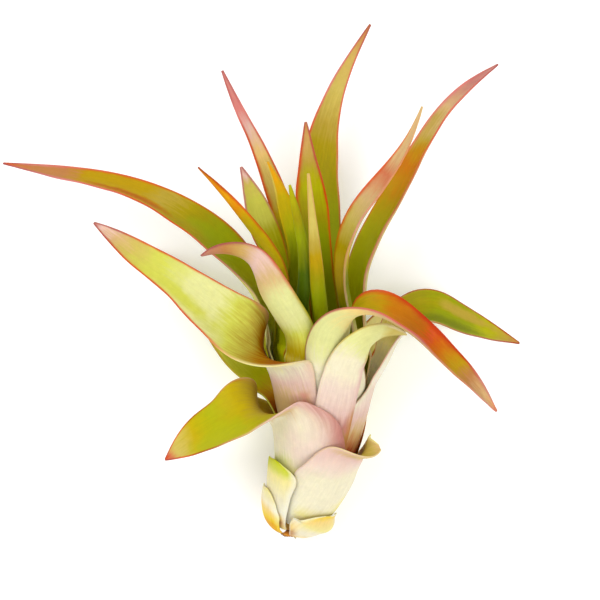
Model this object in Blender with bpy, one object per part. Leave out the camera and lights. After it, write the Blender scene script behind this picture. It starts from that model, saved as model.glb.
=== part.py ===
"""An air plant (Tillandsia brachycaulos) lying on its side on a flat surface.

Lengths are in millimetres and angles in degrees until an object is made, and metres after that.
+Z is up, the cut end of the stem points to -Y, and the crown to +Y.
Every leaf is one solid: a sheath that wraps the stem, then a channelled blade that follows its midrib.
"""

import math
from typing import NamedTuple

import bpy
import numpy as np

MM = 0.001

# The middle of the plant's box, which becomes the origin.
PLANT_CENTRE = np.array((-9.95, 4.59, 0.0))

# The stem's axis, from its cut end to the growing point and on through the crown.
STEM_AXIS = (
    (-1.8, -59.4, 7.6),
    (1.0, -51.4, 9.9),
    (3.8, -42.3, 12.9),
    (5.4, -31.8, 16.6),
    (5.6, -21.5, 20.2),
    (5.0, -11.3, 23.8),
    (4.6, 2.0, 28.6),
)
STEM_SIDES = 12
# Height above the cut end and radius of each ring of the stem.
STEM_RINGS = (
    (0.0, 2.4),
    (0.6, 3.0),
    (1.8, 3.3),
    (12.0, 3.3),
    (24.0, 3.3),
    (34.0, 3.3),
    (38.5, 2.6),
    (40.0, 0.9),
)

# A dried shred of an old leaf at the stem's foot, and a dried root beside it.
# Each point is a height above the cut end, an azimuth and a distance from the stem's axis.
SHRED = (
    ((0.9, -24, 4.05), (1.0, -13, 4.05), (1.0, -2, 4.05), (0.8, 8, 4.05)),
    ((0.0, -29, 4.2), (0.2, -17, 4.2), (0.2, -3, 4.1), (0.2, 8, 4.0)),
    ((-0.8, -48, 4.0), (-1.2, -24, 3.8), (-0.6, -5, 3.6), (-0.4, 7, 3.4)),
)
SHRED_THICKNESS = 0.6
ROOT = ((-0.35, 14, 2.2), (-0.35, 15, 2.9), (-0.4, 16, 3.6), (-0.5, 18, 4.2))
ROOT_RADIUS = 0.3
ROOT_SIDES = 8

# A sheath starts just clear of the stem, swells within a few millimetres and then opens as a cone.
SHEATH_SEAT = 3.95
SHEATH_SWELL = 3.1
SHEATH_SWELL_LENGTH = 2.6
SHEATH_OPENING = 0.21
# Shares of the sheath's height at which the midrib's curve is pinned to that cone.
SHEATH_PINS = np.array((0.0, 0.15, 0.4, 0.7, 1.0))

SHEATH_THICKNESS = 0.6
BLADE_THICKNESS = 1.0
EDGE_THICKNESS = 0.6
TIP_HALF_WIDTH = 0.3
TIGHTEST_CHANNEL = 1.2

# Shares of the sheath's length between which a leaf turns from sheath to blade.
FREED = (0.75, 1.25)
NARROWED = (0.85, 1.35)
OPENED = (0.95, 1.5)
CLUNG = (1.15, 1.5)

# Where along a leaf, in sheath lengths, its cross-sections lie closest together, and how far that goes.
NECK = 1.25
NECK_LENGTH = 0.3
NECK_CROWDING = 1.5

# Heights between which the crown opens: below them a leaf stays outside its own cone.
CROWN_OPENS = (50.0, 60.0)
SLIDE = 0.4

# Linear colours.
CREAM = (0.72, 0.6, 0.42)
LIME = (0.52, 0.6, 0.16)
OLIVE = (0.26, 0.33, 0.09)
GREEN = (0.36, 0.46, 0.14)
ROSE = (0.62, 0.2, 0.16)
ORANGE = (0.72, 0.28, 0.08)
STRAW = (0.6, 0.46, 0.2)
BROWN = (0.3, 0.15, 0.06)


class Leaf(NamedTuple):
    """One leaf.

    azimuth: round the stem from its upper side, towards +X
    root: height of its foot above the stem's cut end
    sheath: height of the sheath
    wrap: how far the sheath reaches round the stem to its left and right
    channel: half of the arc that a cross-section of the blade follows
    blade: rows of x, y, z, width left and right of the midrib, and the upper face's turn from straight up
    opened: shares of the sheath's length between which the cross-section opens to the blade's channel
    clings: whether its right margin stays on the stem a little longer than the rest
    """

    name: str
    azimuth: float
    root: float
    sheath: float
    wrap: tuple
    channel: float
    blade: tuple
    opened: tuple = OPENED
    clings: bool = False
    swell: float = 0.0
    thickness: float = SHEATH_THICKNESS
    stations: int = 18
    strips: int = 8
    colour: tuple = LIME


LEAVES = (
    Leaf(
        "bract_01_right_lobe", 50, 0.3, 3.0, (58, 58), 55,
        (
            (6.0, -57.4, 14.5, 8.0, 7.4, 130),
            (6.4, -56.2, 15.0, 6.4, 5.8, 130),
            (6.6, -55.5, 15.3, 4.2, 3.8, 130),
            (6.8, -55.0, 15.5, 1.4, 1.2, 130),
        ),
        swell=1.2, thickness=0.8, stations=12, colour=CREAM,
    ),
    Leaf(
        "bract_02_left_lobe", -62, 0.2, 5.0, (66, 34), 55,
        (
            (-7.9, -51.2, 13.8, 7.0, 4.2, -118),
            (-7.8, -49.6, 14.6, 5.0, 3.4, -118),
            (-7.7, -48.7, 15.1, 3.0, 2.2, -118),
            (-7.6, -48.1, 15.3, 0.8, 0.6, -118),
        ),
        swell=1.8, thickness=0.8, stations=12, colour=CREAM,
    ),
    Leaf(
        "bract_03_under", 175, 0.5, 5, (42, 40), 55,
        (
            (2.5, -49.8, 0.1, 5.5, 5.5, 5),
            (3.6, -46.7, 0.4, 3.8, 3.8, 5),
            (4.1, -45.1, 0.7, 1.2, 1.2, 5),
        ),
        swell=1.4, thickness=1.3, stations=12, colour=STRAW,
    ),
    Leaf(
        "bract_04_green_left", -52, 1.4, 12.3, (42, 32), 42,
        (
            (-5.6, -44.4, 18.2, 6.4, 6.8, -128),
            (-5.4, -42.6, 18.9, 5.4, 6.0, -128),
            (-5.3, -41.4, 19.5, 3.8, 4.4, -128),
            (-5.2, -40.6, 19.8, 1.2, 1.6, -128),
        ),
        swell=1.05, thickness=0.7, stations=14, colour=GREEN,
    ),
    Leaf(
        "leaf_01_curled_bract", 55, 3.0, 19.5, (81, 60), 75,
        (
            (15.1, -40.0, 21.2, 9.0, 7.7, 100),
            (17.5, -38.4, 22.2, 5.2, 5.6, 60),
            (20.2, -37.3, 22.3, 0.9, 0.9, 30),
        ),
        swell=0.25, stations=14, strips=12, colour=CREAM,
    ),
    Leaf(
        "leaf_02_lower_left", -75, 5.0, 24, (40, 111), 35,
        (
            (-8.7, -29.3, 22.4, 10.0, 14.6, -100),
            (-12.5, -27.6, 24.5, 9.4, 12.0, -50),
            (-18.7, -30.1, 24.5, 6.6, 8.8, -35),
            (-24.2, -33.4, 22.0, 5.2, 6.0, -25),
            (-28.9, -36.5, 19.0, 3.5, 3.9, -20),
            (-34.4, -40.8, 15.0, 0.3, 0.3, -20),
        ),
        opened=(1.25, 1.7), clings=True, stations=20, strips=12, colour=LIME,
    ),
    Leaf(
        "leaf_03_under_right", 140, 7.0, 22, (34, 50), 40,
        (
            (14.3, -21.0, 8.2, 4.8, 5.0, 45),
            (17.5, -10.0, 6.0, 4.3, 3.2, 15),
            (25.0, -3.2, 4.5, 4.2, 3.0, 0),
            (34.0, -2.5, 3.0, 3.4, 3.4, 0),
            (46.0, -6.5, 0.0, 0.6, 0.6, 0),
        ),
        colour=OLIVE,
    ),
    Leaf(
        "leaf_04_front", 15, 9.0, 30, (24, 22), 32,
        (
            (10.6, -19.0, 36.5, 5.2, 5.2, 168),
            (12.7, -13.7, 39.5, 4.4, 4.9, 160),
            (16.0, -10.6, 40.0, 4.2, 4.5, 140),
            (20.3, -8.7, 37.5, 3.7, 3.7, 120),
            (24.0, -8.5, 34.5, 2.2, 2.2, 105),
            (26.5, -8.7, 32.0, 0.3, 0.3, 100),
        ),
        swell=-0.45, stations=22, colour=LIME,
    ),
    Leaf(
        "leaf_05_under_left", -130, 11.0, 24, (45, 44), 40,
        (
            (-9.0, -18.6, 7.1, 6.4, 7.6, -25),
            (-16.0, -10.3, 8.3, 6.4, 7.3, -10),
            (-23.5, -1.0, 6.0, 4.6, 5.0, 0),
            (-31.5, 6.5, 3.0, 3.0, 3.0, 0),
            (-41.0, 12.5, 0.0, 0.6, 0.6, 0),
        ),
        colour=GREEN,
    ),
    Leaf(
        "leaf_06_right", 105, 13.0, 24, (82, 45), 45,
        (
            (21.6, -15.5, 20.5, 7.4, 6.4, 76),
            (26.0, -6.2, 24.0, 7.0, 6.8, 58),
            (31.2, -3.2, 24.8, 6.2, 6.7, 45),
            (38.4, -4.7, 23.2, 5.5, 5.3, 40),
            (46.3, -7.7, 19.5, 4.0, 3.6, 40),
            (56.0, -11.0, 15.0, 0.3, 0.3, 40),
        ),
        swell=-0.3, colour=OLIVE,
    ),
    Leaf(
        "leaf_07_broad_left", -60, 15.0, 28, (50, 56), 35,
        (
            (-8.1, -15.4, 30.8, 8.5, 13.9, -101),
            (-12.2, -10.0, 34.5, 9.2, 12.0, -47),
            (-18.6, -4.6, 35.5, 7.6, 9.0, -26),
            (-26.0, 1.2, 34.0, 5.8, 6.4, -18),
            (-33.0, 6.5, 31.0, 4.6, 4.6, -15),
            (-40.0, 11.0, 28.0, 3.7, 3.7, -15),
            (-47.0, 16.0, 25.0, 2.1, 2.1, -15),
            (-52.0, 19.5, 23.0, 0.3, 0.3, -15),
        ),
        opened=(1.25, 1.7), clings=True, stations=20, strips=10, colour=OLIVE,
    ),
    Leaf(
        "leaf_08_under_top", 170, 17.0, 22, (50, 45), 40,
        (
            (6.5, -6.0, 9.0, 5.5, 5.5, 8),
            (5.0, 13.0, 6.0, 4.8, 4.8, 0),
            (5.5, 29.0, 3.0, 3.6, 3.6, 0),
            (8.0, 45.0, 0.0, 0.6, 0.6, 0),
        ),
        swell=-0.4, colour=GREEN,
    ),
    Leaf(
        "leaf_09_arched_right", 18, 19.0, 25, (46, 46), 62,
        (
            (7.5, -12.5, 38.0, 6.6, 6.8, 165),
            (10.6, -5.6, 43.0, 5.2, 6.8, 125),
            (17.0, -2.9, 44.5, 5.2, 6.8, 70),
            (26.4, -6.2, 42.0, 5.6, 5.2, 50),
            (35.3, -13.5, 37.0, 3.9, 3.8, 35),
            (43.5, -21.5, 30.0, 2.6, 2.6, 35),
            (49.5, -28.0, 25.0, 0.3, 0.3, 35),
        ),
        swell=-0.2, stations=22, colour=OLIVE,
    ),
    Leaf(
        "leaf_10_long_left", -105, 21.0, 24, (40, 62), 40,
        (
            (-10.8, 0.2, 22.4, 6.8, 5.5, -75),
            (-19.7, 12.6, 25.2, 6.9, 6.2, -50),
            (-30.6, 21.6, 25.0, 5.5, 5.9, -45),
            (-44.5, 28.3, 21.0, 3.9, 4.4, -45),
            (-61.5, 32.2, 17.0, 2.5, 3.0, -45),
            (-76.0, 35.0, 13.0, 0.3, 0.3, -45),
        ),
        stations=20, colour=GREEN,
    ),
    Leaf(
        "leaf_11_tall_right", 120, 23.0, 22, (48, 26), 50,
        (
            (16.6, 9.3, 24.2, 5.6, 5.6, 60),
            (22.3, 21.4, 24.6, 5.0, 5.5, 60),
            (27.7, 32.0, 25.0, 4.4, 4.0, 50),
            (35.3, 45.6, 25.0, 3.8, 2.8, 50),
            (42.8, 53.7, 24.0, 2.6, 2.1, 50),
            (50.0, 59.5, 23.0, 0.3, 0.3, 50),
        ),
        colour=GREEN,
    ),
    Leaf(
        "leaf_12_curled_front", -24, 25.0, 22, (26, 44), 50,
        (
            (-0.4, -8.6, 37.0, 5.4, 4.4, 204),
            (-4.1, -2.0, 41.5, 5.4, 4.6, 205),
            (-7.5, 4.1, 44.0, 4.8, 4.2, 208),
            (-11.5, 10.0, 44.0, 3.4, 3.4, 215),
            (-15.8, 11.9, 42.0, 2.5, 2.5, 220),
            (-20.5, 12.0, 39.0, 1.6, 1.6, 225),
            (-24.5, 11.0, 35.0, 0.3, 0.3, 225),
        ),
        swell=-0.2, stations=20, colour=LIME,
    ),
    Leaf(
        "leaf_13_tall_back", 172, 27.0, 20, (24, 24), 40,
        (
            (4.5, 4.0, 13.0, 6.0, 6.0, 5),
            (4.5, 15.5, 12.0, 6.3, 6.3, 0),
            (4.8, 33.0, 12.0, 5.4, 5.3, 0),
            (7.4, 48.0, 12.5, 3.2, 3.2, 0),
            (10.3, 56.0, 13.0, 2.1, 2.1, 0),
            (18.0, 70.5, 14.0, 0.3, 0.3, 0),
        ),
        colour=GREEN,
    ),
    Leaf(
        "leaf_14_back_left", -116, 28.0, 18, (17, 20), 40,
        (
            (-5.5, 7.0, 22.0, 3.4, 4.2, -45),
            (-9.7, 19.0, 23.0, 4.0, 3.9, -15),
            (-11.6, 25.4, 23.5, 2.8, 2.8, -5),
            (-14.9, 33.6, 23.5, 0.3, 0.3, 0),
        ),
        swell=-0.3, strips=6, colour=GREEN,
    ),
    Leaf(
        "leaf_15_slim_right", 75, 29.5, 16, (22, 22), 50,
        (
            (11.3, 9.5, 32.0, 4.2, 4.2, 70),
            (14.9, 21.2, 36.0, 3.8, 3.7, 50),
            (21.4, 30.2, 39.5, 3.0, 2.9, 45),
            (27.0, 39.5, 42.0, 1.6, 1.4, 45),
            (30.0, 47.5, 43.0, 0.3, 0.3, 50),
        ),
        swell=-1.0, strips=6, colour=GREEN,
    ),
    Leaf(
        "leaf_16_red_left", -156, 30.5, 15, (22, 22), 45,
        (
            (-2.3, 14.0, 17.0, 3.4, 3.4, -10),
            (-7.1, 30.0, 19.5, 2.7, 2.7, 0),
            (-11.3, 40.0, 23.0, 1.9, 1.8, 0),
            (-15.8, 49.0, 27.0, 1.2, 1.1, 0),
            (-19.5, 57.5, 28.5, 0.3, 0.3, 0),
        ),
        swell=-0.9, strips=6, colour=ROSE,
    ),
    Leaf(
        "leaf_17_orange_left", -80, 31.0, 15, (22, 22), 55,
        (
            (-6.0, 8.5, 32.5, 3.4, 3.4, -105),
            (-11.3, 16.3, 34.5, 3.4, 3.4, -110),
            (-18.8, 25.7, 37.0, 2.2, 2.1, -110),
            (-25.2, 32.8, 38.0, 0.3, 0.3, -110),
        ),
        swell=-0.6, strips=6, colour=ORANGE,
    ),
    Leaf(
        "leaf_18_inner_back", 165, 34.0, 12, (25, 25), 40,
        (
            (4.2, 13.0, 29.5, 3.9, 4.2, 0),
            (2.8, 26.0, 35.0, 4.0, 4.2, 0),
            (2.2, 32.5, 38.5, 2.8, 3.0, 0),
            (1.4, 43.6, 44.0, 0.3, 0.3, 0),
        ),
        swell=-1.6, strips=6, colour=GREEN,
    ),
    Leaf(
        "leaf_19_inner_left", -125, 33.5, 12, (25, 25), 45,
        (
            (-1.3, 15.0, 33.5, 2.6, 2.3, 0),
            (-3.5, 23.0, 38.0, 2.2, 2.2, 0),
            (-5.0, 27.5, 40.0, 1.4, 1.4, 0),
            (-8.0, 34.0, 42.0, 0.3, 0.3, 0),
        ),
        swell=-2.0, strips=6, colour=ROSE,
    ),
    Leaf(
        "leaf_20_heart_left", -60, 36.0, 9, (25, 25), 50,
        (
            (1.0, 8.0, 40.0, 1.7, 1.7, 190),
            (0.0, 16.5, 44.0, 1.4, 1.4, 190),
            (-1.5, 23.5, 47.0, 0.9, 0.9, 190),
            (-2.5, 28.0, 49.0, 0.3, 0.3, 190),
        ),
        swell=-2.7, strips=6, colour=GREEN,
    ),
    Leaf(
        "leaf_21_heart_front", 10, 35.5, 9, (25, 25), 50,
        (
            (4.5, 2.5, 39.0, 2.0, 2.0, 180),
            (3.8, 11.0, 44.5, 1.7, 1.7, 180),
            (3.3, 16.5, 48.0, 1.3, 1.3, 180),
            (2.0, 30.5, 54.0, 0.3, 0.3, 180),
        ),
        swell=-2.7, strips=6, colour=LIME,
    ),
)


def unit(vector):
    """The vector, or each row of vectors, at length 1."""
    vector = np.asarray(vector, float)
    return vector / np.linalg.norm(vector, axis=-1, keepdims=True)


def ramp(x, start, end):
    """0 up to start, 1 from end on and an S-shaped rise between."""
    x = np.clip((x - start) / (end - start), 0.0, 1.0)
    return x * x * (3.0 - 2.0 * x)


def mix(a, b, share):
    return a + (b - a) * share


def square_to(vectors, directions):
    """Each vector without its part along its direction, at length 1."""
    return unit(vectors - (vectors * directions).sum(-1, keepdims=True) * directions)


class Path:
    """A natural cubic spline through rows of numbers, whose first three are a point in space."""

    def __init__(self, rows):
        self.rows = np.asarray(rows, float)
        chords = np.linalg.norm(np.diff(self.rows[:, :3], axis=0), axis=1)
        self.knots = np.concatenate(([0.0], np.cumsum(chords)))
        self.bends = self._second_derivatives(chords)

    def _second_derivatives(self, chords):
        count = len(self.rows)
        matrix = np.eye(count)
        slopes = np.diff(self.rows, axis=0) / chords[:, None]
        jumps = np.zeros_like(self.rows)
        for i in range(1, count - 1):
            matrix[i, i - 1 : i + 2] = chords[i - 1], 2.0 * (chords[i - 1] + chords[i]), chords[i]
            jumps[i] = 6.0 * (slopes[i] - slopes[i - 1])
        return np.linalg.solve(matrix, jumps)

    def at(self, distance):
        """The rows at these distances along the chords."""
        distance = np.asarray(distance, float)
        i = np.clip(np.searchsorted(self.knots, distance) - 1, 0, len(self.knots) - 2)
        step = (self.knots[i + 1] - self.knots[i])[..., None]
        b = (distance[..., None] - self.knots[i][..., None]) / step
        a = 1.0 - b
        bend = (a**3 - a) * self.bends[i] + (b**3 - b) * self.bends[i + 1]
        return a * self.rows[i] + b * self.rows[i + 1] + bend * step**2 / 6.0

    def direction(self, distance, reach=0.05):
        """The curve's unit tangents at these distances."""
        ahead = self.at(np.asarray(distance) + reach)
        behind = self.at(np.asarray(distance) - reach)
        return unit((ahead - behind)[..., :3])


AXIS = Path(STEM_AXIS)


def stem_frame(height):
    """Centre, direction, upper side and right side of the stem at heights above its cut end."""
    along = AXIS.direction(height)
    right = unit(np.cross(along, (0.0, 0.0, 1.0)))
    return AXIS.at(height), along, np.cross(right, along), right


def outward(azimuth, upper, right):
    """The direction away from the stem's axis at an azimuth."""
    angle = np.radians(azimuth)[..., None]
    return np.cos(angle) * upper + np.sin(angle) * right


def stem_points(rows):
    """Points from heights, azimuths and distances from the stem's axis."""
    height, azimuth, distance = np.moveaxis(np.array(rows, float), -1, 0)
    centre, _, upper, right = stem_frame(height)
    return centre + distance[..., None] * outward(azimuth, upper, right)


def cone_radius(leaf, climb):
    """How far the middle of a sheath stands from the stem's axis, this far above the leaf's root."""
    swollen = (SHEATH_SWELL + leaf.swell) * (1.0 - np.exp(-np.maximum(climb, 0.0) / SHEATH_SWELL_LENGTH))
    return SHEATH_SEAT + swollen + SHEATH_OPENING * climb


def midrib_path(leaf):
    """The midrib with the blade's widths and turns: up the sheath's cone, then along the blade."""
    climbs = leaf.sheath * SHEATH_PINS
    centre, _, upper, right = stem_frame(leaf.root + climbs)
    pins = centre + cone_radius(leaf, climbs)[:, None] * outward(leaf.azimuth, upper, right)
    blade = np.array(leaf.blade)
    sheath = np.hstack((pins, np.tile(blade[0, 3:], (len(pins), 1))))
    return Path(np.vstack((sheath, blade)))


class Sections(NamedTuple):
    """A leaf's cross-sections, one row for each station: arcs round centre + inward * radius."""

    centre: np.ndarray
    inward: np.ndarray
    side: np.ndarray
    radius: np.ndarray
    left: np.ndarray
    right: np.ndarray
    thickness: np.ndarray
    share: np.ndarray


def station_distances(length, sheath_length, count):
    """Where the cross-sections lie: closer together in the neck between sheath and blade."""
    fine = np.linspace(0.0, length, 400)
    crowding = 1.0 + NECK_CROWDING * np.exp(-(((fine / sheath_length - NECK) / NECK_LENGTH) ** 2))
    travelled = np.cumsum(crowding)
    return np.interp(np.linspace(travelled[0], travelled[-1], count), travelled, fine)


def upper_face(along, turn):
    """The way the blade's upper face looks: straight up, turned round the midrib."""
    level = square_to(np.array((0.0, 0.0, 1.0)), along)
    angle = np.radians(turn)[:, None]
    return level * np.cos(angle) + np.cross(level, along) * np.sin(angle)


def sections(leaf):
    path = midrib_path(leaf)
    sheath_end = path.knots[len(SHEATH_PINS) - 1]
    distance = station_distances(path.knots[-1], sheath_end, leaf.stations)
    rows = path.at(distance)
    along = path.direction(distance)
    climb = np.interp(distance, path.knots[: len(SHEATH_PINS)], leaf.sheath * SHEATH_PINS)
    _, stem_along, upper, right = stem_frame(leaf.root + climb)
    share = distance / sheath_end

    # A section lies square to the stem in the sheath, and square to the midrib in the blade.
    freed = ramp(share, *FREED)[:, None]
    normal = unit(mix(stem_along, along, freed))
    away = outward(leaf.azimuth, upper, right)
    inward = square_to(mix(-away, upper_face(along, rows[:, 5]), freed), normal)

    cone = cone_radius(leaf, climb)
    blade = np.maximum(rows[:, 3:5], TIP_HALF_WIDTH)
    narrowed = ramp(share, *NARROWED)
    channel = np.maximum(blade.mean(1) / math.radians(leaf.channel), TIGHTEST_CHANNEL)
    reach = [mix(cone * math.radians(leaf.wrap[i]), blade[:, i], narrowed) for i in (0, 1)]
    to_tip = np.clip((distance - sheath_end) / (path.knots[-1] - sheath_end), 0.0, 1.0)
    thickness = mix(leaf.thickness, mix(BLADE_THICKNESS, EDGE_THICKNESS, to_tip**2), narrowed)
    radius = mix(cone, channel, ramp(share, *leaf.opened))
    return Sections(rows[:, :3], inward, np.cross(inward, normal), radius, *reach, thickness, share)


def keep_outside(leaf, points, clinging):
    """Points inside this leaf's own cone are moved out to it, and clinging ones are drawn in to it."""
    heights = np.linspace(0.0, AXIS.knots[-1], 60)
    line = AXIS.at(heights)
    lengthwise = unit(line[-1] - line[0])
    height = np.interp(points @ lengthwise, line @ lengthwise, heights)
    centre = AXIS.at(height)
    away = points - centre
    distance = np.linalg.norm(away, axis=-1)
    shut = 1.0 - ramp(height, *CROWN_OPENS)
    floor = cone_radius(leaf, np.clip(height, leaf.root, CROWN_OPENS[0]) - leaf.root) * shut
    moved = (distance + floor + np.sqrt((distance - floor) ** 2 + SLIDE**2)) / 2.0
    moved = mix(moved, floor, clinging * shut)
    return centre + away * (moved / distance)[..., None]


def leaf_surface(leaf):
    """Points midway through the leaf, (stations, strips + 1, 3), and its thickness at each."""
    s = sections(leaf)
    across = np.linspace(-1.0, 1.0, leaf.strips + 1)
    reach = np.where(across < 0, s.left[:, None], s.right[:, None]) * across
    angle = (reach / s.radius[:, None])[..., None]
    outward_there = s.side[:, None] * np.sin(angle) - s.inward[:, None] * np.cos(angle)
    axis = (s.centre + s.inward * s.radius[:, None])[:, None]
    points = axis + outward_there * s.radius[:, None, None]
    clinging = (1.0 - ramp(s.share, *CLUNG))[:, None] * ramp(across, 0.0, 0.7) * leaf.clings
    return keep_outside(leaf, points, clinging), mix(s.thickness[:, None], EDGE_THICKNESS, across**4)


def faces_of_sheet(points, thickness):
    """Points of the lower and upper faces of a sheet, given the points midway through it."""
    lower_normal = unit(np.cross(np.gradient(points, axis=1), np.gradient(points, axis=0)))
    offset = lower_normal * (np.asarray(thickness) / 2.0)[..., None]
    return points + offset, points - offset


def grid_solid(lower, upper):
    """Vertices and faces of the closed solid between two grids."""
    rows, columns = lower.shape[:2]
    count = rows * columns
    faces = []
    for i in range(rows - 1):
        for j in range(columns - 1):
            a = i * columns + j
            b, c, d = a + 1, a + columns + 1, a + columns
            faces.append((a, b, c, d))
            faces.append((count + d, count + c, count + b, count + a))
    rim = list(range(columns))
    rim += [i * columns + columns - 1 for i in range(1, rows)]
    rim += [(rows - 1) * columns + j for j in range(columns - 2, -1, -1)]
    rim += [i * columns for i in range(rows - 2, 0, -1)]
    for a, b in zip(rim, rim[1:] + rim[:1]):
        faces.append((b, a, count + a, count + b))
    return np.vstack((lower.reshape(-1, 3), upper.reshape(-1, 3))), faces


def material(name, colour, roughness=0.55):
    made = bpy.data.materials.new(name)
    made.use_nodes = True
    shader = made.node_tree.nodes["Principled BSDF"]
    shader.inputs["Base Color"].default_value = (*colour, 1.0)
    shader.inputs["Roughness"].default_value = roughness
    return made


def add_object(name, points, faces, colour):
    """An object from millimetre points, none below the surface, with the plant's middle at the origin."""
    mesh = bpy.data.meshes.new(name)
    placed = points - PLANT_CENTRE
    placed[:, 2] = np.maximum(placed[:, 2], 0.0)
    mesh.from_pydata(placed * MM, [], faces)
    mesh.shade_smooth()
    mesh.set_sharp_from_angle(angle=math.radians(50))
    mesh.materials.append(material(name, colour))
    made = bpy.data.objects.new(name, mesh)
    bpy.context.scene.collection.objects.link(made)
    return made


def tube_solid(centre, upper, right, radii, sides):
    """Vertices and faces of a closed tube whose rings lie round these centres."""
    angles = (np.arange(sides) * 2.0 * math.pi / sides)[None, :, None]
    ring = np.cos(angles) * upper[:, None] + np.sin(angles) * right[:, None]
    points = (centre[:, None] + ring * np.asarray(radii)[:, None, None]).reshape(-1, 3)
    top = len(points) - sides
    faces = [tuple(range(sides - 1, -1, -1)), tuple(range(top, len(points)))]
    for i in range(0, top, sides):
        for j in range(sides):
            a, b = i + j, i + (j + 1) % sides
            faces.append((a, b, b + sides, a + sides))
    return points, faces


def add_leaf(leaf):
    points, faces = grid_solid(*faces_of_sheet(*leaf_surface(leaf)))
    return add_object(leaf.name, points, faces, leaf.colour)


def add_stem():
    """The short stem that carries every leaf."""
    heights, radii = np.array(STEM_RINGS).T
    centre, _, upper, right = stem_frame(heights)
    points, faces = tube_solid(centre, upper, right, radii, STEM_SIDES)
    return add_object("stem", points, faces, STRAW)


def add_shred():
    points, faces = grid_solid(*faces_of_sheet(stem_points(SHRED), SHRED_THICKNESS))
    return add_object("dried_shred", points, faces, BROWN)


def add_root():
    centre = stem_points(ROOT)
    along = unit(np.gradient(centre, axis=0))
    upper = square_to(np.array((0.0, 0.0, 1.0)), along)
    radii = np.full(len(centre), ROOT_RADIUS)
    points, faces = tube_solid(centre, upper, np.cross(along, upper), radii, ROOT_SIDES)
    return add_object("dried_root", points, faces, STRAW)


def clear_scene():
    for old in list(bpy.data.objects):
        bpy.data.objects.remove(old)


def main():
    clear_scene()
    add_stem()
    add_shred()
    add_root()
    for leaf in LEAVES:
        add_leaf(leaf)


main()
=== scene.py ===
"""The looks of an air plant that lies on its side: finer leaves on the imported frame, colours and the studio.

Lengths are in millimetres and angles in degrees until an object is made, and metres after that.
Each leaf is worked out again from the same stem and table as its solid, with thin margins and a fine tip.
"""

import math
from collections import namedtuple
from typing import NamedTuple

import bpy
import numpy as np
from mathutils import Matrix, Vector


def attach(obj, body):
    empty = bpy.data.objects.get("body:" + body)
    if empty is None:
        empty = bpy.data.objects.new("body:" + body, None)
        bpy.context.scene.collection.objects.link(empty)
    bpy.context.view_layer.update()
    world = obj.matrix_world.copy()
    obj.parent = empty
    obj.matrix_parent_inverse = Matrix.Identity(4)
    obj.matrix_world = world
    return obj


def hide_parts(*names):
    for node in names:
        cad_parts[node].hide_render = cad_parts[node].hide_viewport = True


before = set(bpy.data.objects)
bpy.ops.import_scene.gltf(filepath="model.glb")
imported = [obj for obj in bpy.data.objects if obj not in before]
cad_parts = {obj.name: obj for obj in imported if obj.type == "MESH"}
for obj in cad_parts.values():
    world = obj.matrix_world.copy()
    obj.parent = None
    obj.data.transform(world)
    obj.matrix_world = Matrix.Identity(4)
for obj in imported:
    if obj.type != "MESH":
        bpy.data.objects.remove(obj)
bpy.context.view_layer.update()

MM = 0.001
UP = np.array((0.0, 0.0, 1.0))

# The middle of the plant's box, which is the frame's origin.
PLANT_CENTRE = np.array((-9.95, 4.59, 0.0))

# The stem's axis, from its cut end to the growing point and on through the crown.
STEM_AXIS = (
    (-1.8, -59.4, 7.6),
    (1.0, -51.4, 9.9),
    (3.8, -42.3, 12.9),
    (5.4, -31.8, 16.6),
    (5.6, -21.5, 20.2),
    (5.0, -11.3, 23.8),
    (4.6, 2.0, 28.6),
)
STEM_RADIUS = 3.3
# Height above the cut end and radius of each ring of the stem, its hollowed end first.
STEM_RINGS = (
    (0.9, 0.3), (0.7, 1.2), (0.15, 1.9), (0.05, 2.3), (0.3, 2.7), (0.9, 3.05), (2.0, 3.25),
    (6.0, STEM_RADIUS), (12.0, STEM_RADIUS), (24.0, STEM_RADIUS), (34.0, STEM_RADIUS),
    (38.5, 2.6), (40.0, 0.9),
)
STEM_SIDES = 64
STEM_RINGS_BETWEEN = 6
# The stem's lengthwise fibres: height, numbers round it, range of phases, and the radius they need in full.
FIBRE_HEIGHT = 0.12
FIBRES = (5, 9, 23)
FIBRE_PHASES = 6.3
FIBRES_FROM = 3.0

# A dried shred of an old leaf at the stem's foot, and a dried root beside it.
# Each point is a height above the cut end, an azimuth and a distance from the stem's axis.
SHRED = (
    ((0.9, -24, 4.05), (1.0, -13, 4.05), (1.0, -2, 4.05), (0.8, 8, 4.05)),
    ((0.0, -29, 4.2), (0.2, -17, 4.2), (0.2, -3, 4.1), (0.2, 8, 4.0)),
    ((-0.8, -48, 4.0), (-1.2, -24, 3.8), (-0.6, -5, 3.6), (-0.4, 7, 3.4)),
)
SHRED_ROWS = 30
SHRED_COLUMNS = 48
SHRED_THICKNESS = 0.35
SHRED_WIDTH = 5.0
SHRED_LENGTH = 3.0
# Height and number of the teeth along the shred's torn edge.
TEAR_HEIGHT = 0.5
TEARS = 7
ROOT = ((-0.35, 14, 2.2), (-0.35, 15, 2.9), (-0.4, 16, 3.6), (-0.5, 18, 4.2))
ROOT_RADIUS = 0.3
ROOT_GIRTH = 2.0
# The root's radius at its tip and the height of its knobs, as shares of its radius, and the knobs' pace.
ROOT_TIP = 0.45
KNOB_HEIGHT = 0.08
KNOB_PACE = 9.0
ROOT_SIDES = 20
ROOT_RINGS = 24

# A sheath starts just clear of the stem, swells within a few millimetres and then opens as a cone.
SHEATH_SEAT = 3.95
SHEATH_SWELL = 3.1
SHEATH_SWELL_LENGTH = 2.6
SHEATH_OPENING = 0.21
# Shares of the sheath's height at which the midrib's curve is pinned to that cone.
SHEATH_PINS = np.array((0.0, 0.15, 0.4, 0.7, 1.0))

SHEATH_THICKNESS = 0.6
BLADE_THICKNESS = 1.0
TIP_THICKNESS = 0.3
MARGIN_THICKNESS = 0.2
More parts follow.
